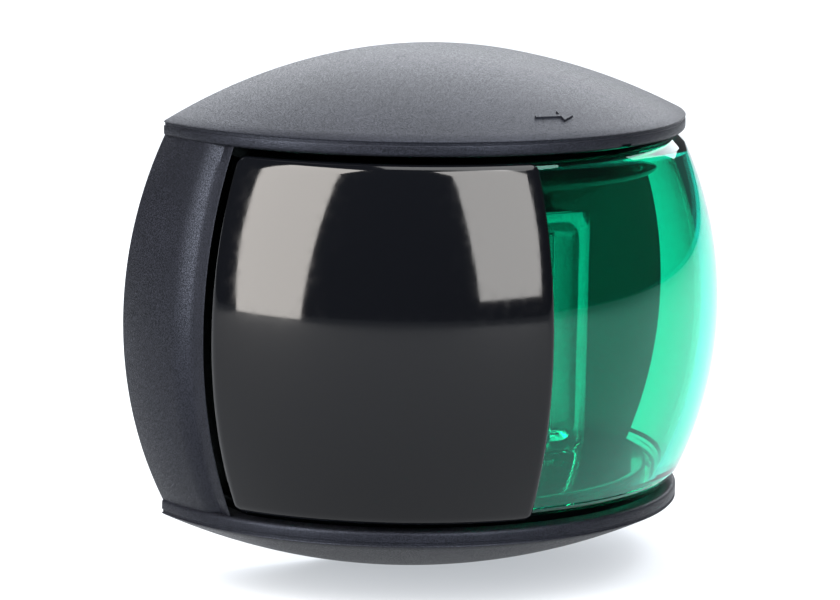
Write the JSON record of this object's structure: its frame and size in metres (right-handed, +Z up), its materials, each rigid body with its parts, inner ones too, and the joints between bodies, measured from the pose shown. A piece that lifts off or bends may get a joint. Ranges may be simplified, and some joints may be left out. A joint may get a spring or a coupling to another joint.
{
  "type": "starboard navigation light",
  "caption": "Compact wall-mounted LED starboard side light: barrel-shaped green lens, bonded black sector screen, and a domed shroud that slides off to reach the fixing holes.",
  "frame": {"origin": "centre of the mounting face at the back of the gasket", "axes": "+Z up, +X towards the bow (horizontal, along the mounting face), +Y into the surface the light is screwed to; the light shines towards -Y"},
  "size_m": [0.0766, 0.0386, 0.0626],
  "materials": {
    "shroud_plastic": "fine moulded grain",
    "screen_plastic": "polished",
    "lens_green": "clear, dyed through",
    "base_plastic": "moulded",
    "box_plastic": "polished",
    "gasket_foam": "closed-cell foam",
    "gland_rubber": "moulded",
    "seal_silicone": "cured bead",
    "reflector_metal": "metallised",
    "optic_clear": "clear acrylic",
    "board_white": "white solder mask",
    "led_package": "moulded package",
    "led_silicone": "phosphor under silicone",
    "spreader_aluminium": "mill",
    "pad_silicone": "soft pad",
    "screw_steel": "stainless",
    "tray_plastic": "moulded",
    "board_green": "green solder mask",
    "chip_epoxy": "moulded epoxy",
    "inductor_ferrite": "pressed ferrite",
    "capacitor_ceramic": "ceramic",
    "wire_insulation": "insulated",
    "terminal_tin": "tinned brass",
    "potting_resin": "cast resin"
  },
  "bodies": {
    "lamp": {"base_housing": "base_plastic", "mounting_gasket": "gasket_foam", "cable_gland": "gland_rubber", "lens": "lens_green", "sector_screen": "screen_plastic", "lens_seal": "seal_silicone", "light_box": "box_plastic", "reflector": "reflector_metal", "optic": "optic_clear", "led_board": "board_white", "led_packages": "led_package", "led_domes": "led_silicone", "heat_spreader": "spreader_aluminium", "thermal_pad": "pad_silicone", "light_engine_screws": "screw_steel", "driver_tray": "tray_plastic", "driver_board": "board_green", "driver_chip": "chip_epoxy", "inductor": "inductor_ferrite", "capacitors": "capacitor_ceramic", "diodes": "chip_epoxy", "resistors": "chip_epoxy", "link_wires": "wire_insulation", "supply_terminals": "terminal_tin", "potting": "potting_resin", "tray_screws": "screw_steel"},
    "shroud": {"shroud": "shroud_plastic"}
  },
  "joints": [
    {"name": "shroud_slide", "type": "slide", "parent": "lamp", "child": "shroud", "axis": [0, -1, 0], "range_m": [0, 0.045]}
  ]
}
